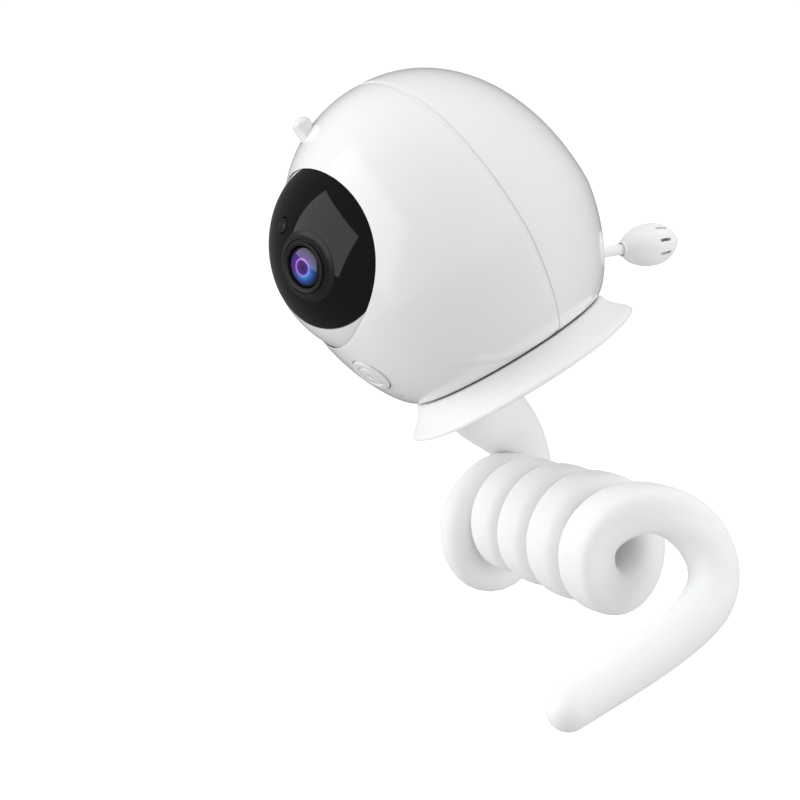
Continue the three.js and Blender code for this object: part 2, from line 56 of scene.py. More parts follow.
# ------------------------------------------------------------------ dimensions
HEAD_RADIUS = 45
HEAD_BASE = 30.7
HEAD_WIDE = 30.8
HEAD_HEIGHT = 87.2
LOWER_POWER = 1.47
UPPER_POWER = 2.12
WALL = 2.0
SEAM = 0.8  # half the shallow band between the two head shells
BAND_DEPTH = 0.3
TONGUE_DEPTH = 1.3
REAR_CENTRE = Vector((0, 10, 44.8))
SECTIONS = 200

EYE_CENTRE = Vector((0, -17, 44.8))
EYE_RADIUS = 32.4
EYE_WALL = 2.2
SOCKET = 32.75
FACE_ANGLE = 45.2
FACE_UP = 2  # the face is set a little above the middle of the eyeball
COVER_ANGLE = 112
FACE_RADIUS = EYE_RADIUS + 0.15
FACE_WALL = 1.6
LENS_DOWN = 8
LENS_SIDE = -3
GLASS_RADIUS = 5.7
BARREL_BORE = 4.95
BARREL_RADIUS = 6.4
BARREL_LOW = 19
LIGHT_UP = 17
LIGHT_SIDE = -11
LIGHT_RADIUS = 2.1

GAP = 0.35  # clearance round the pieces that are set into the shells
BUTTON_HEIGHT = 15.5
BUTTON_RADIUS = 6.1
MIC_HEIGHT = 5.6
MIC_RADIUS = 0.7
NUB_Y = -19
NUB_RADIUS = 2.8
NUB_LOW = 80.2
NUB_TOP = 87.6
SENSOR_HEIGHT = 9.5
SENSOR_START = 13.5
SENSOR_LENGTH = 19.5
SENSOR_BORE_END = 11.6
SENSOR_RADIUS = 6.6
STEM_RADIUS = 1.65
SLOT_HALF = 0.5
SPEAKER_HEIGHT = 52
SPEAKER_PITCH = 4.5
SPEAKER_HOLE = 0.9
INLET_HEIGHT = 18.5
INLET_HALF = (4.9, 1.9)

DISH_TOP = -0.55
DISH_TOP_RADIUS = 31.1
DISH_RIM_RADIUS = 37.2
NECK_ROOT = Vector((-16.4, -8.2, -6.4))
NECK_TOP_RADIUS = 11.9
NECK_WAY = Vector((-0.5, 0.55, -0.67)).normalized()
NECK_STEPS = 40
NECK_BURIED = 14
NECK_CUT = -8.8  # the plane inside the dish where the neck ends, in the head frame
RAIL_GAP = 6.35
RAIL_WAY = Vector((1, 0, 0))
COIL_TURNS = 5.17
COIL_FRONT = -34.5
COIL_PITCH = 12.1
COIL_SPREAD = 0.32
COIL_SLACK = 11.2
COIL_RADIUS = 5.7
COIL_SWELL = 0.34
COIL_LEAVE = 14
TAIL_TIP = Vector((45, -51, -31))
TAIL_RADIUS = 6.0
TAIL_STEPS = 48
ROUND_END_STEPS = 4
WIRE_RADIUS = 2.5


def turn(axis, degrees):
    return Matrix.Rotation(math.radians(degrees), 4, axis)


def shift(x, y, z):
    return Matrix.Translation((x, y, z))


HEAD = shift(-14, -15.5, 55.8) @ turn("Z", -6) @ turn("X", 25.8) @ turn("Y", -18.9)
YAW = HEAD @ Matrix.Translation(EYE_CENTRE) @ turn("Z", 26)
EYE = YAW @ turn("X", -20)


# ------------------------------------------------------------------- materials
def new_material(name):
    """A material with its principled shader, and the output of its object coordinates."""
    material = bpy.data.materials.new(name)
    material.use_nodes = True
    nodes = material.node_tree.nodes
    coords = nodes.new("ShaderNodeTexCoord")
    return material, nodes["Principled BSDF"], coords.outputs["Object"]


def noise(material, source, scale, detail=3):
    node = material.node_tree.nodes.new("ShaderNodeTexNoise")
    node.inputs["Scale"].default_value = scale
    node.inputs["Detail"].default_value = detail
    material.node_tree.links.new(source, node.inputs["Vector"])
    return node.outputs["Fac"]


def ramp(material, source, stops):
    """Colours by a value: stops is a list of (place, colour)."""
    node = material.node_tree.nodes.new("ShaderNodeValToRGB")
    while len(node.color_ramp.elements) < len(stops):
        node.color_ramp.elements.new(0.5)
    for element, (place, colour) in zip(node.color_ramp.elements, stops):
        element.position = place
        element.color = (*colour, 1)
    material.node_tree.links.new(source, node.inputs["Fac"])
    return node.outputs["Color"]


def spread(material, source, low, high):
    node = material.node_tree.nodes.new("ShaderNodeMapRange")
    node.inputs["To Min"].default_value = low
    node.inputs["To Max"].default_value = high
    material.node_tree.links.new(source, node.inputs["Value"])
    return node.outputs["Result"]


def bump(material, shader, source, depth):
    node = material.node_tree.nodes.new("ShaderNodeBump")
    node.inputs["Distance"].default_value = depth
    node.inputs["Strength"].default_value = 0.6
    material.node_tree.links.new(source, node.inputs["Height"])
    material.node_tree.links.new(node.outputs["Normal"], shader.inputs["Normal"])


def shade(colour, amount):
    return tuple(c * amount for c in colour)


def moulded(name, colour, rough, grain=1500, depth=0.00002, vary=0.03, metal=0.0, coat=0.0):
    """A moulded or machined surface: fine grain, and a little change of tone and gloss."""
    material, shader, coords = new_material(name)
    links = material.node_tree.links
    broad = noise(material, coords, 45)
    tone = ramp(material, broad, [(0.3, shade(colour, 1 - vary)), (0.7, colour)])
    links.new(tone, shader.inputs["Base Color"])
    fine = noise(material, coords, grain, 2)
    links.new(spread(material, fine, rough * 0.85, rough * 1.15), shader.inputs["Roughness"])
    bump(material, shader, fine, depth)
    shader.inputs["Metallic"].default_value = metal
    shader.inputs["Coat Weight"].default_value = coat
    shader.inputs["Coat Roughness"].default_value = 0.06
    return material


def silicone_material():
    """Satin silicone: soft, a little see-through, with a fine dusty grain."""
    material = moulded("silicone", (0.9, 0.9, 0.905), 0.5, 2600, 0.00003, 0.02)
    shader = material.node_tree.nodes["Principled BSDF"]
    shader.inputs["Subsurface Weight"].default_value = 0.15
    shader.inputs["Subsurface Scale"].default_value = 0.003
    shader.inputs["Sheen Weight"].default_value = 0.12
    return material


def lens_material():
    """Dark glass with painted reflections in rings about the lens's own axis: a bright violet painted ring and
    violet painted glow above, blue and cyan painted highlights below.
    """
    material, shader, coords = new_material("lens_painted_reflections")
    nodes = material.node_tree.nodes
    links = material.node_tree.links
    split = nodes.new("ShaderNodeSeparateXYZ")
    links.new(coords, split.inputs["Vector"])
    flat = nodes.new("ShaderNodeCombineXYZ")
    links.new(split.outputs["X"], flat.inputs["X"])
    links.new(split.outputs["Y"], flat.inputs["Y"])
    length = nodes.new("ShaderNodeVectorMath")
    length.operation = "LENGTH"
    links.new(flat.outputs["Vector"], length.inputs[0])
    radius = nodes.new("ShaderNodeMapRange")
    radius.inputs["From Max"].default_value = GLASS_RADIUS * MM
    links.new(length.outputs["Value"], radius.inputs["Value"])
    rings = radius.outputs["Result"]
    # painted reflections for the upper half: dark violet glass with a bright violet painted ring
    upper_painted_reflection = ramp(material, rings, [
        (0.0, (0.03, 0.008, 0.07)), (0.2, (0.07, 0.02, 0.16)), (0.34, (0.06, 0.015, 0.16)),
        (0.41, (0.55, 0.22, 0.9)), (0.48, (0.06, 0.02, 0.2)), (0.72, (0.05, 0.015, 0.16)),
        (0.88, (0.008, 0.004, 0.025)), (0.97, (0.004, 0.003, 0.008))])
    # painted reflections for the lower half: blue, with a bright painted ring and a cyan painted highlight
    lower = ramp(material, rings, [
        (0.0, (0.015, 0.01, 0.06)), (0.2, (0.02, 0.015, 0.12)), (0.34, (0.03, 0.04, 0.3)),
        (0.41, (0.35, 0.24, 0.9)), (0.5, (0.02, 0.22, 0.5)), (0.68, (0.015, 0.07, 0.3)),
        (0.86, (0.006, 0.012, 0.06)), (0.97, (0.004, 0.004, 0.01))])
    # the painted reflections fade from the lower set to the upper set, up the lens
    height = nodes.new("ShaderNodeMapRange")
    height.inputs["From Min"].default_value = -2.6 * MM
    height.inputs["From Max"].default_value = 1.0 * MM
    links.new(split.outputs["Y"], height.inputs["Value"])
    mix = nodes.new("ShaderNodeMix")
    mix.data_type = "RGBA"
    links.new(height.outputs["Result"], mix.inputs["Factor"])
    links.new(lower, mix.inputs["A"])
    links.new(upper_painted_reflection, mix.inputs["B"])
    links.new(mix.outputs["Result"], shader.inputs["Base Color"])
    links.new(spread(material, rings, 0.04, 0.1), shader.inputs["Roughness"])
    shader.inputs["Coat Weight"].default_value = 1.0
    shader.inputs["Coat Roughness"].default_value = 0.02
    return material


MATERIALS = {
    "shell_white": moulded("gloss_white", (0.83, 0.83, 0.835), 0.2, 900, 0.000006, 0.015, coat=0.5),
    "silicone_white": silicone_material(),
    "face_black": moulded("smoked_face", (0.005, 0.005, 0.006), 0.05, 700, 0.000002, 0.1),
    "bezel_grey": moulded("lens_surround", (0.014, 0.014, 0.015), 0.3, 3000, 0.00001, 0.08),
    "dark_plastic": moulded("dark_plastic", (0.03, 0.03, 0.032), 0.45, 2400, 0.00003, 0.1),
    "steel": moulded("steel", (0.56, 0.57, 0.58), 0.28, 3500, 0.00001, 0.12, metal=1.0),
    "brass": moulded("brass", (0.72, 0.55, 0.26), 0.3, 3500, 0.00001, 0.12, metal=1.0),
    "nylon": moulded("nylon", (0.78, 0.76, 0.7), 0.42, 2000, 0.00002, 0.04),
    "circuit_board": moulded("solder_mask", (0.03, 0.2, 0.09), 0.4, 1800, 0.00004, 0.25),
    # the lens's coloured rings are painted reflections on dark glass
    "lens_coated": lens_material(),
    "led_lens": moulded("led_epoxy", (0.1, 0.02, 0.07), 0.12, 1500, 0.00001, 0.1, coat=0.6),
}
SLOT_OF = {row["node"]: row["material_slot"] for row in frame["record"]["subparts"]}


# ---------------------------------------------------------------- mesh helpers
def piece(name, points, faces, place, body, slot, stands_for=(), sharp=35):
    """A new piece from points in millimetres, in the frame of `place`, riding on a body."""
    mesh = bpy.data.meshes.new(name)
    mesh.from_pydata([tuple(Vector(p) * MM) for p in points], [], faces)
    work = bmesh.new()
    work.from_mesh(mesh)
    bmesh.ops.remove_doubles(work, verts=work.verts, dist=1e-7)
    bmesh.ops.dissolve_degenerate(work, edges=work.edges, dist=1e-8)
    bmesh.ops.recalc_face_normals(work, faces=work.faces)
    work.to_mesh(mesh)
    work.free()
    obj = bpy.data.objects.new(name, mesh)
    bpy.context.scene.collection.objects.link(obj)
    at = place.copy()
    at.translation = at.translation * MM
    if name == "lens":
        # the lens's painted reflection rings are laid out about its own axis
        obj.matrix_world = at  # its rings are about its own axis
    else:
        mesh.transform(at)
    smooth(obj, sharp)
    if body:
        mesh.materials.append(MATERIALS[slot])
        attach(obj, body)
        if stands_for:
            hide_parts(*stands_for)
    return obj


def smooth(obj, sharp):
    obj.data.shade_smooth()
    obj.data.set_sharp_from_angle(angle=math.radians(sharp))


def grid(rows, wrap_rows=False, wrap_columns=True):
    """Points and quads of a grid of rows, closed either way round."""
    count, width = len(rows), len(rows[0])
    faces = []
    for i in range(count if wrap_rows else count - 1):
        for j in range(width if wrap_columns else width - 1):
            a, b = i * width, ((i + 1) % count) * width
            k = (j + 1) % width
            faces.append((a + j, a + k, b + k, b + j))
    return [p for row in rows for p in row], faces


def fillet_arc(before, here, after, fillet, steps):
    """Points of the arc that replaces a corner."""
    start = here + (before - here).normalized() * fillet
    end = here + (after - here).normalized() * fillet
    out = []
    for k in range(steps + 1):
        t = k / steps
        out.append(start * (1 - t) ** 2 + here * 2 * t * (1 - t) + end * t ** 2)
    return out


def rounded(points, closed=False, steps=5):
    """An outline whose points are (x, y) or (x, y, fillet), with the fillets turned into arcs."""
    out = []
    count = len(points)
    for i, point in enumerate(points):
        here = Vector(point[:2])
        if len(point) == 2 or (not closed and i in (0, count - 1)):
            out.append(tuple(here))
            continue
        before, after = Vector(points[i - 1][:2]), Vector(points[(i + 1) % count][:2])
        out += [tuple(p) for p in fillet_arc(before, here, after, point[2], steps)]
    return out


def lathe(name, outline, place, body, slot, stands_for=(), segments=96, closed=True, sharp=35):
    """A turned piece about Z. The outline is (radius, z[, fillet]) and is closed or ends on the axis."""
    profile = rounded(outline, closed)
    rows = []
    for radius, z in profile:
        row = []
        for j in range(segments):
            a = TAU * j / segments
            row.append((radius * math.cos(a), radius * math.sin(a), z))
        rows.append(row)
    points, faces = grid(rows, wrap_rows=closed)
    return piece(name, points, faces, place, body, slot, stands_for, sharp)


def cutter(outline, place):
    return lathe("cutter", outline, place, None, None, segments=64, closed=False)


def carve(obj, tools, sharp=35):
    """Cuts the tools out of obj and removes them."""
    bpy.context.view_layer.update()
    for tool in tools:
        modifier = obj.modifiers.new("cut", "BOOLEAN")
        modifier.operation = "DIFFERENCE"
        modifier.solver = "EXACT"
        modifier.object = tool
    bpy.context.view_layer.update()
    evaluated = obj.evaluated_get(bpy.context.evaluated_depsgraph_get())
    mesh = bpy.data.meshes.new_from_object(evaluated)
    obj.modifiers.clear()
    obj.data = mesh
    smooth(obj, sharp)
    for tool in tools:
        bpy.data.objects.remove(tool)
    return obj


def rod(radius, low, high):
    """The outline of a plain round cutter along Z."""
    return [(0, low), (radius, low), (radius, high), (0, high)]


def bulge(value, power):
    """A sine or cosine reshaped for a squarish outline."""
    return math.copysign(abs(value) ** power, value)


def tube(name, path, radii, squareness=None, sides=40, round_end=False):
    """A tube along a path in the row frame, level with the rail. A squareness of 2 is a round section."""
    rows = []
    last_point = len(path) - 1
    tangents = []
    for i in range(len(path)):
        tangents.append((path[min(i + 1, last_point)] - path[max(i - 1, 0)]).normalized())
    for i, (point, tangent, radius) in enumerate(zip(path, tangents, radii)):
        side = (RAIL_WAY - tangent * tangent.x).normalized()
        other = tangent.cross(side)
        power = 2 / (squareness[i] if squareness else 2)
        row = []
        for j in range(sides):
            a = TAU * j / sides
            out = side * bulge(math.cos(a), power) + other * bulge(math.sin(a), power)
            row.append(point + out * radius)
        rows.append(row)
    for end, is_round in ((0, False), (-1, round_end)):
        outward = tangents[end] * (1 if end else -1)
        centre, radius, ring = path[end], radii[end], rows[end]
        extra = []
        for k in range(1, 9):
            a = k / 8 * math.pi / 2
            rise = radius * math.sin(a) if is_round else 0
            inset = math.cos(a) if is_round else 1 - k / 8
            extra.append([centre + outward * rise + (p - centre) * max(inset, 0.001) for p in ring])
        rows = rows + extra if end else extra[::-1] + rows
    points, faces = grid(rows)
    base = len(points)
    points += [sum(rows[0], Vector()) / sides, sum(rows[-1], Vector()) / sides]
    last = (len(rows) - 1) * sides
    for j in range(sides):
        k = (j + 1) % sides
        faces.append((base, k, j))
        faces.append((base + 1, last + j, last + k))
    return piece(name, points, faces, Matrix(), None, None)


# ------------------------------------------------------------------ head shape
def head_radius(z, inset=0.0):
    radius, base = HEAD_RADIUS - inset, HEAD_BASE - inset
    if z <= HEAD_WIDE:
        t = 1 - max(z, 0) / HEAD_WIDE
        return base + (radius - base) * (1 - t ** LOWER_POWER) ** (1 / LOWER_POWER)
    t = min((z - HEAD_WIDE) / (HEAD_HEIGHT - HEAD_WIDE - inset), 1)
    return radius * (1 - t ** UPPER_POWER) ** (1 / UPPER_POWER)


def reach(centre, way, inset):
    """How far the egg's wall is from a point inside it, in a direction."""
    low, high = 0.0, 120.0
    for _ in range(36):
        middle = (low + high) / 2
        p = centre + way * middle
        if 0 < p.z < HEAD_HEIGHT - inset and math.hypot(p.x, p.y) < head_radius(p.z, inset):
            low = middle
        else:
            high = middle
    return low


def direction(facing, phi, psi):
    """Unit vector at polar angle psi from the facing direction (-1 front, 1 back), turned to phi."""
    return Vector((math.sin(psi) * math.cos(phi), facing * math.cos(psi), math.sin(psi) * math.sin(phi)))


def surface(centre, facing, phi, psi, inset):
    way = direction(facing, phi, psi)
    return centre + way * reach(centre, way, inset)


def arc_on_wall(centre, facing, phi, start, end, steps, inset):
    """Points along the wall from one polar angle to another."""
    return [surface(centre, facing, phi, start + (end - start) * i / steps, inset) for i in range(steps + 1)]


def bisect(low, high, holds):
    """The largest value between low and high for which holds() is still true."""
    for _ in range(30):
        middle = (low + high) / 2
        if holds(middle):
            low = middle
        else:
            high = middle
    return low


def edge_angle(centre, facing, phi, inset, plane):
    """The polar angle at which the wall meets the seam's plane or the open base."""
    def on_wall(psi):
        p = surface(centre, facing, phi, psi, inset)
        return p.y * facing > plane and p.z > 1e-4
    return bisect(0.4, 2.9, on_wall)


def section_angles(centre, count):
    """Angles round the head, with the two corners where the seam meets the base among them."""
    corner = math.atan2(-centre.z, HEAD_BASE)
    below = count // 5
    above = count - below
    angles = [corner + (math.pi - 2 * corner) * i / above for i in range(above)]
    angles += [math.pi - corner + (math.pi + 2 * corner) * i / below for i in range(below)]
    return angles


def bevelled(corners, steps=4):
    """Replaces (point, fillet) corners in a list of points by arcs."""
    out = []
    for i, item in enumerate(corners):
        if isinstance(item, Vector):
            out.append(item)
            continue
        here, fillet = item
        before = corners[i - 1] if isinstance(corners[i - 1], Vector) else corners[i - 1][0]
        after = corners[(i + 1) % len(corners)]
        after = after if isinstance(after, Vector) else after[0]
        out += fillet_arc(before, here, after, fillet, steps)
    return out


def front_shell():
    centre = EYE_CENTRE
    sections = []
    for phi in section_angles(centre, SECTIONS):
        def clear_of_eye(psi, inset=0.0):
            return reach(centre, direction(-1, phi, psi), inset) > SOCKET
        rim = next_angle(clear_of_eye)
        inner_rim = next_angle(lambda psi: clear_of_eye(psi, WALL))
        outer_edge = edge_angle(centre, -1, phi, 0.0, SEAM)
        inner_edge = edge_angle(centre, -1, phi, WALL, SEAM)
        outer = arc_on_wall(centre, -1, phi, rim, outer_edge, 44, 0.0)
        inner = arc_on_wall(centre, -1, phi, inner_rim, inner_edge, 16, WALL)
        lip = centre + direction(-1, phi, inner_rim) * SOCKET
        ring = [(outer[0], 0.55)] + outer[1:-1] + [(outer[-1], 0.25), (inner[-1], 0.2)]
        ring += inner[-2:0:-1] + [(lip, 0.2)]
        sections.append(bevelled(ring))
    points, faces = grid(sections, wrap_rows=True)
    return piece("front_shell", points, faces, HEAD, "head", "shell_white", ["head_front_shell"])


def next_angle(holds):
    """The first polar angle, going out from the middle of the eye, at which holds() is true."""
    return bisect(0.3, 1.5, lambda psi: not holds(psi))


def rear_shell():
    centre = REAR_CENTRE
    sections = []
    for phi in section_angles(centre, SECTIONS):
        outer_edge = edge_angle(centre, 1, phi, 0.0, SEAM)
        inner_edge = edge_angle(centre, 1, phi, WALL, SEAM)
        outer = arc_on_wall(centre, 1, phi, 0, outer_edge, 44, 0.0)
        inner = arc_on_wall(centre, 1, phi, 0, inner_edge, 20, WALL)
        step = []
        for inset in (BAND_DEPTH, TONGUE_DEPTH):
            step.append(surface(centre, 1, phi, edge_angle(centre, 1, phi, inset, SEAM), inset))
        tongue = [p + Vector((0, 0.05 - 2 * SEAM, 0)) for p in step]
        ring = outer[:-1] + [(outer[-1], 0.25), step[0], tongue[0], tongue[1], step[1]] + inner[::-1]
        sections.append(bevelled(ring))
    count, width = len(sections), len(sections[0])
    points = [p for row in sections for p in row]
    faces = []
    for i in range(count):
        a, b = i * width, ((i + 1) % count) * width
        faces += [(a + j, a + j + 1, b + j + 1, b + j) for j in range(width - 1)]
    return piece("rear_shell", points, faces, HEAD, "head", "shell_white", ["head_rear_shell"])


def wall_place(z, side):
    """A frame on the lower wall, at the front (-1) or the back (1), with +Z pointing out of it."""
    tilt = math.degrees(math.atan2(head_radius(z + 0.5) - head_radius(z - 0.5), 1))
    turned = turn("X", 90 + tilt) if side < 0 else turn("X", -90 - tilt)
    return HEAD @ shift(0, side * head_radius(z), z) @ turned


BUTTON_PLACE = wall_place(BUTTON_HEIGHT, -1)
MIC_PLACE = wall_place(MIC_HEIGHT, -1)
STEM_PLACE = wall_place(SENSOR_HEIGHT, 1) @ turn("X", 6)
NUB_PLACE = HEAD @ shift(0, NUB_Y, 0)


def head_pieces():
    front = front_shell()
    carve(front, [cutter(rod(BUTTON_RADIUS + GAP, -6, 3), BUTTON_PLACE),
                  cutter(rod(MIC_RADIUS, -6, 3), MIC_PLACE),
                  cutter(rod(NUB_RADIUS + 0.2, 70, 95), NUB_PLACE)])
    rear = rear_shell()
    tools = [cutter(rod(STEM_RADIUS + GAP, -6, 3), STEM_PLACE)]
    for row in range(-1, 2):
        for column in range(-1, 2):
            hole = shift(column * SPEAKER_PITCH, 40, SPEAKER_HEIGHT + row * SPEAKER_PITCH)
            tools.append(cutter(rod(SPEAKER_HOLE, -10, 10), HEAD @ hole @ turn("X", 90)))
    across, up = INLET_HALF
    inlet = [(-across, -up), (across, -up), (across, up), (-across, up)]
    tools.append(prism(inlet, 30, 45, HEAD @ shift(0, 0, INLET_HEIGHT)))
    carve(rear, tools)

    lathe("button_cap", [(0, -1.9), (BUTTON_RADIUS, -1.9, 0.1), (BUTTON_RADIUS, 0.3, 0.5), (4.25, 0.42, 0.12),
                         (4.1, 0.0, 0.1), (3.5, 0.0, 0.1), (3.35, 0.46, 0.12), (1.3, 0.52, 0.3),
                         (0.9, 0.36, 0.3), (0, 0.33)],
          BUTTON_PLACE, "button", "shell_white", ["pair_button"], closed=False)
    lathe("aerial_nub", [(0, 84.6), (1.45, 84.6), (1.45, NUB_LOW), (NUB_RADIUS, NUB_LOW, 0.2),
                         (2.55, 83.6, 2.0), (NUB_RADIUS, 85.0, 0.8), (NUB_RADIUS, NUB_TOP, 2.5), (0, NUB_TOP)],
          NUB_PLACE, "head", "shell_white", ["antenna_nub"], segments=64, closed=False)


def prism(outline, low, high, place):
    """A cutter with an outline in X and Z, between two values of Y."""
    count = len(outline)
    points = [(x, y, z) for y in (low, high) for x, z in outline]
    faces = [tuple(range(count)), tuple(range(count, 2 * count))]
    faces += [(i, (i + 1) % count, count + (i + 1) % count, count + i) for i in range(count)]
    return piece("cutter", points, faces, place, None, None)


# ---------------------------------------------------------- temperature sensor
def sensor_pieces():
    outline = [(STEM_RADIUS + GAP, SENSOR_START + 0.1)]
    for i in range(1, 40):
        a = i / 40 * math.pi
        fat = SENSOR_RADIUS * (1 - 0.08 * math.cos(a)) * math.sin(a)
        along = SENSOR_START + SENSOR_LENGTH / 2 * (1 - math.cos(a))
        outline.append((max(fat, STEM_RADIUS + 2 * GAP), along))
    bore_end = SENSOR_START + SENSOR_BORE_END
    outline += [(0, SENSOR_START + SENSOR_LENGTH), (0, bore_end), (STEM_RADIUS + GAP, bore_end)]
    tip = lathe("sensor_tip", outline, STEM_PLACE, "head", "silicone_white", ["temperature_sensor_tip"])
    carve(tip, [slot_cutter(STEM_PLACE @ turn("Z", angle)) for angle in (-38, 0, 38)])
    lathe("sensor_stem", [(0, -5), (STEM_RADIUS, -5), (STEM_RADIUS, 19.5), (0, 19.5)],
          STEM_PLACE, "head", "silicone_white", ["temperature_sensor_stem"], segments=48, closed=False)


def slot_cutter(place):
    """A rounded slot that runs lengthwise in the sensor's side, along local Z at +X."""
    low, high = SENSOR_START + 10.4, SENSOR_START + 14.6
    outline = []
    for end, sign in ((high - SLOT_HALF, 1), (low + SLOT_HALF, -1)):
        for k in range(9):
            a = math.pi * k / 8
            outline.append((sign * SLOT_HALF * math.cos(a), end + sign * SLOT_HALF * math.sin(a)))
    return prism(outline, -9, -3, place @ turn("Z", 90))


# ------------------------------------------------------------------------- eye
def face_place(up, side=0.0):
    return EYE @ turn("Z", side) @ turn("X", 90 - up)


def polar(radius, angle):
    return radius * math.sin(angle), radius * math.cos(angle)


def sphere_arc(radius, start, end, steps):
    """Points of an arc about the eye's centre, between two angles in degrees from its axis."""
    return [polar(radius, math.radians(start + (end - start) * i / steps)) for i in range(steps + 1)]


def eye_pieces():
    place = face_place(FACE_UP)
    band_start = FACE_ANGLE + 0.6
    band = sphere_arc(EYE_RADIUS, band_start, COVER_ANGLE, 30)
    band += sphere_arc(EYE_RADIUS - EYE_WALL, COVER_ANGLE, band_start, 30)
    lathe("eyeball", band, place, "eyeball", "shell_white", ["eyeball_shell"], segments=128)

    edge = math.radians(FACE_ANGLE)
    dome = sphere_arc(FACE_RADIUS, 0, FACE_ANGLE - 0.7, 40)
    dome += [polar(FACE_RADIUS - 0.1, edge), polar(FACE_RADIUS - 0.45, edge + 0.004)]
    dome += sphere_arc(FACE_RADIUS - FACE_WALL, FACE_ANGLE, 0, 20)
    face = lathe("face_dome", dome, place, "eyeball", "face_black", ["eye_face_dome"],
                 segments=128, closed=False)
    lens_place = face_place(-LENS_DOWN, LENS_SIDE)
    light_place = face_place(LIGHT_UP, LIGHT_SIDE)
    carve(face, [cutter(rod(BARREL_RADIUS + GAP, 20, 40), lens_place),
                 cutter(rod(LIGHT_RADIUS + GAP, 20, 40), light_place)])

    top = FACE_RADIUS
    bore = GLASS_RADIUS + 0.15
    barrel = [(BARREL_BORE, BARREL_LOW), (BARREL_RADIUS, BARREL_LOW, 0.2), (BARREL_RADIUS, top - 1.0)]
    surround = [(9.9, top - 1.75, 0.05), (9.9, top - 1.45, 0.1), (8.3, top - 0.75, 0.6),
                (7.75, top + 0.05, 0.1), (7.6, top - 0.35, 0.1), (7.2, top - 0.35, 0.1)]
    inner_ring = [(7.1, top + 0.6, 0.2), (6.6, top + 0.6, 0.2), (6.4, top + 0.4, 0.1), (6.1, top + 0.4, 0.1),
                  (bore, top - 0.1, 0.15), (bore, top - 3.2, 0.1), (BARREL_BORE, top - 3.4, 0.1)]
    lathe("lens_rim", barrel + surround + inner_ring,
          lens_place, "eyeball", "bezel_grey", ["lens_bezel", "lens_barrel"], segments=128)
    glass = [(0, top - 3.0), (GLASS_RADIUS, top - 3.0, 0.1), (GLASS_RADIUS, top - 0.7, 0.1)]
    for degrees in range(5, 90, 8):
        a = math.radians(degrees)
        glass.append(((GLASS_RADIUS - 0.1) * math.cos(a), top - 0.6 + 1.3 * math.sin(a)))
    glass.append((0, top + 0.7))
    lathe("lens", glass, lens_place, "eyeball", "lens_coated", ["lens_glass"], closed=False)
    lathe("light_window", [(0, top - 2.4), (LIGHT_RADIUS, top - 2.4), (LIGHT_RADIUS, top + 0.2, 0.25),
                           (1.5, top + 0.2, 0.15), (1.25, top - 0.15, 0.1), (0.6, top + 0.1, 0.2),
                           (0, top + 0.12)],
          light_place, "eyeball", "bezel_grey", ["light_sensor"], segments=64, closed=False)


# ----------------------------------------------------------------- dish and arm
def ease(t):
    """A smooth step from 0 to 1."""
    x = min(max(t, 0.0), 1.0)
    return x * x * (3 - 2 * x)


def loop_radius(loops):
    return COIL_RADIUS + COIL_SWELL * loops


def coil_point(turns):
    """The arm's centre line round the rail, by turns from its start at the back."""
    loops = turns - 0.5
    easing = 1 - ease((turns - 0.2) / 0.45)
    slack = COIL_SLACK * easing * (0.85 + 0.15 * ease(turns * 4))
    radius = RAIL_GAP + loop_radius(loops) + slack
    whole = math.floor(loops)
    mixed = 0.85 * (whole + ease((loops - whole) / 0.8)) + 0.15 * loops
    along = COIL_FRONT + COIL_PITCH * mixed + COIL_SPREAD * mixed * mixed
    along += COIL_LEAVE * ease((loops - 4) / 0.6)
    return Vector((along, radius * math.cos(TAU * turns), -radius * math.sin(TAU * turns)))


def loop_squareness(turns):
    """How square the section is: round at both ends, squarish where the loops press together."""
    return 2 + 1.3 * ease(turns - 0.5) * (1 - ease((turns - 4.6) / 0.5))


COIL_START = coil_point(0)
COIL_END = coil_point(COIL_TURNS)
START_WAY = (coil_point(0.002) - coil_point(0)).normalized()
END_WAY = (coil_point(COIL_TURNS) - coil_point(COIL_TURNS - 0.002)).normalized()


def bezier(a, b, c, d, count):
    """Points along a cubic curve, with its two handles b and c."""
    out = []
    for i in range(count + 1):
        t = i / count
        u = 1 - t
        out.append(a * u ** 3 + b * (3 * u * u * t) + c * (3 * u * t * t) + d * t ** 3)
    return out


def neck_path():
    start = HEAD @ NECK_ROOT
    aside = Vector((-1.5, -2.5, 0))
    return bezier(start, start + NECK_WAY * 19, COIL_START - START_WAY * 26 + aside, COIL_START, NECK_STEPS)


def tail_path():
    return bezier(COIL_END, COIL_END + END_WAY * 14, TAIL_TIP + Vector((0, 22, 5)), TAIL_TIP, TAIL_STEPS)


def trim_under_dish(arm):
    """Slides what stands above the cutting plane back along the neck, so that it ends flat in the dish."""
    to_head = HEAD.inverted()
    way = to_head.to_3x3() @ NECK_WAY
    work = bmesh.new()
    work.from_mesh(arm.data)
    for vertex in work.verts:
        place = to_head @ (vertex.co / MM)
        if place.z > NECK_CUT:
            place += way * ((NECK_CUT - place.z) / way.z)
            vertex.co = (HEAD @ place) * MM
    bmesh.ops.remove_doubles(work, verts=work.verts, dist=1e-6)
    bmesh.ops.dissolve_degenerate(work, edges=work.edges, dist=1e-6)
    work.to_mesh(arm.data)
    work.free()


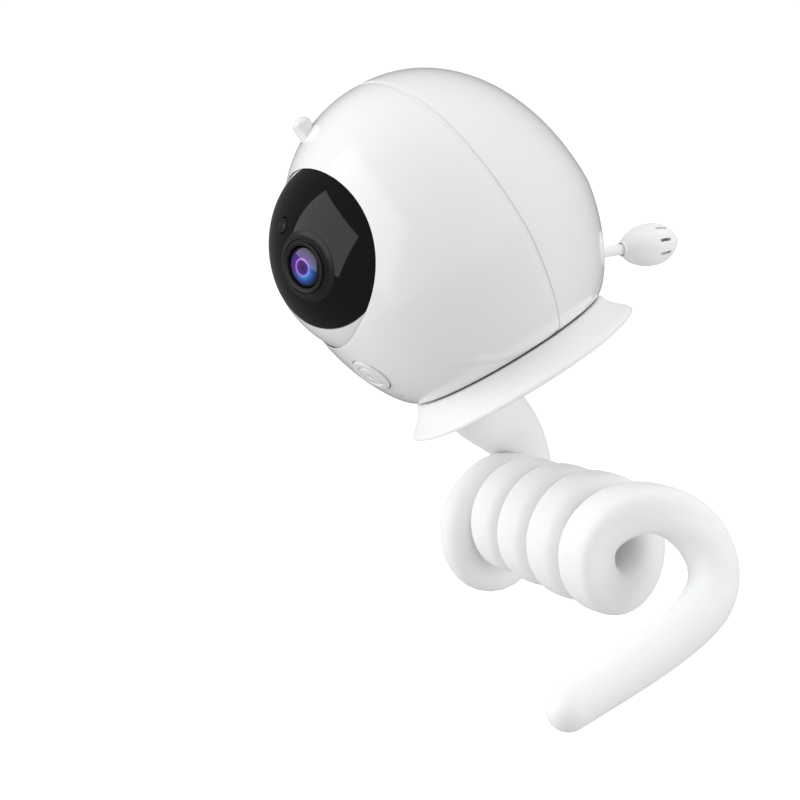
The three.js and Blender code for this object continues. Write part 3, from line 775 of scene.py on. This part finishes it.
def arm_pieces():
    lathe("dish", [(0, -6.6), (5.6, -6.6), (5.6, -4.4), (19.9, -4.4), (19.9, DISH_TOP),
                   (DISH_TOP_RADIUS, DISH_TOP, 0.5), (DISH_TOP_RADIUS + 1.4, -3.6, 1.2),
                   (DISH_TOP_RADIUS + 3.6, -6.1, 1.6), (DISH_RIM_RADIUS, -8.0, 0.9),
                   (DISH_RIM_RADIUS + 0.1, -8.9, 0.5), (DISH_RIM_RADIUS - 0.9, -9.4, 0.8), (0, -9.4)],
          HEAD, "dish", "silicone_white", ["mount_dish"], segments=160, closed=False, sharp=50)

    neck, tail = neck_path(), tail_path()
    path = [neck[0] - NECK_WAY * (NECK_BURIED * (1 - i / 6)) for i in range(6)]
    radii = [NECK_TOP_RADIUS] * len(path)
    low = loop_radius(-0.5)
    path += neck
    for i in range(NECK_STEPS + 1):
        radii.append(NECK_TOP_RADIUS + (low - NECK_TOP_RADIUS) * (i / NECK_STEPS) ** 2.4)
    square = [2.0] * len(path)
    steps = 216
    for i in range(1, steps + 1):
        turns = COIL_TURNS * i / steps
        path.append(coil_point(turns))
        radii.append(loop_radius(turns - 0.5))
        square.append(loop_squareness(turns))
    # the coil ends just under the skin of the tail, so that no seam shows
    first = loop_radius(COIL_TURNS - 0.5)
    arm = tube("neck_and_coil", path + [tail[1]], radii + [first - 0.06], square + [2.0], sides=48)
    trim_under_dish(arm)
    finish_arm(arm, "silicone_white", ["neck_sleeve", "coil_sleeve"])
    wire = neck[4:]
    finish_arm(tube("neck_wire", wire, [WIRE_RADIUS] * len(wire), sides=24), "steel", ["neck_core"])

    radii = [first + (TAIL_RADIUS - first) * i / TAIL_STEPS for i in range(TAIL_STEPS + 1)]
    arm_end = tube("arm_tail", tail[:-ROUND_END_STEPS], radii[:-ROUND_END_STEPS], sides=48, round_end=True)
    finish_arm(arm_end, "silicone_white", ["tail_sleeve"])
    wire = tail[1:38]
    finish_arm(tube("tail_wire", wire, [WIRE_RADIUS] * len(wire), sides=24), "steel", ["tail_core"])


def finish_arm(obj, slot, stands_for):
    """Gives a stretch of the arm its material, bakes its placement into its mesh and hides the CAD parts that
    it stands for.
    """
    obj.data.materials.append(MATERIALS[slot])
    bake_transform(obj)
    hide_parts(*stands_for)


# ----------------------------------------------------------- camera and lights
def studio():
    camera = bpy.data.cameras.new("camera")
    camera.lens = 67.5
    camera.sensor_width = 36
    camera.clip_start = 0.01
    view = bpy.data.objects.new("camera", camera)
    view.location = (0.30867, -0.30964, 0.13196)
    view.rotation_euler = (math.radians(78.072), 0, math.radians(51.758))
    bpy.context.scene.collection.objects.link(view)
    bpy.context.scene.camera = view

    world = bpy.data.worlds.new("studio")
    world.use_nodes = True
    bpy.context.scene.world = world
    nodes, links = world.node_tree.nodes, world.node_tree.links
    background = nodes["Background"]
    background.inputs["Color"].default_value = (1, 1, 1, 1)
    path = nodes.new("ShaderNodeLightPath")
    seen = nodes.new("ShaderNodeMath")
    seen.operation = "MULTIPLY_ADD"
    links.new(path.outputs["Is Camera Ray"], seen.inputs[0])
    seen.inputs[1].default_value = 0.4  # the backdrop is white, and lights the object less than it shows
    seen.inputs[2].default_value = 0.65
    strength = nodes.new("ShaderNodeMath")
    strength.operation = "MULTIPLY_ADD"
    links.new(path.outputs["Is Glossy Ray"], strength.inputs[0])
    strength.inputs[1].default_value = -0.5
    links.new(seen.outputs[0], strength.inputs[2])
    links.new(strength.outputs[0], background.inputs["Strength"])

    target = Vector((-0.02, -0.03, 0.06))
    lamp("window", Vector((-0.117, -0.519, 0.176)), Vector((-0.032, -0.048, 0.087)), 0.63, 0.46, 1.0,
         Vector((0.86, -0.19, -0.474)))
    lamp("top", Vector((0.0, -0.1, 0.8)), target, 0.8, 0.8, 2.6).visible_glossy = False
    lamp("right", Vector((0.7, 0.6, 0.1)), target, 0.5, 0.7, 3.0).visible_glossy = False
    lamp("left", Vector((-0.65, -0.55, 0.0)), target, 0.5, 0.7, 2.6).visible_glossy = False

    far, low = 3e4, -300
    corners = [(-far, -far, low), (far, -far, low), (far, far, low), (-far, far, low)]
    floor = piece("floor", corners, [(0, 1, 2, 3)], Matrix(), None, None)
    material = moulded("pale_floor", (0.95, 0.95, 0.95), 0.8, 20, 0.0001, 0.01)
    shader = material.node_tree.nodes["Principled BSDF"]
    shader.inputs["Emission Color"].default_value = (1, 1, 1, 1)
    shader.inputs["Emission Strength"].default_value = 0.55
    shader.inputs["Specular IOR Level"].default_value = 0.0
    floor.data.materials.append(material)
    floor.visible_diffuse = False
    floor.visible_glossy = False
    bpy.context.scene.view_settings.view_transform = "Standard"


def lamp(name, place, target, width, height, power, along=None):
    """A rectangular lamp that faces the target; `along` is the direction of its wide side."""
    light = bpy.data.lights.new(name, "AREA")
    light.shape = "RECTANGLE"
    light.size = width
    light.size_y = height
    light.energy = power
    obj = bpy.data.objects.new(name, light)
    back = (place - target).normalized()
    wide = along or Vector((0, 0, 1)).cross(back)
    wide = (wide - back * wide.dot(back)).normalized()
    turned = Matrix((wide, back.cross(wide), back)).transposed().to_4x4()
    obj.matrix_world = Matrix.Translation(place) @ turned
    bpy.context.scene.collection.objects.link(obj)
    return obj


def carried_over():
    """Gives every CAD node its material."""
    for name, obj in frame["nodes"].items():
        obj.data.materials.clear()
        obj.data.materials.append(MATERIALS[SLOT_OF[name]])


studio()
carried_over()
head_pieces()
sensor_pieces()
eye_pieces()
arm_pieces()
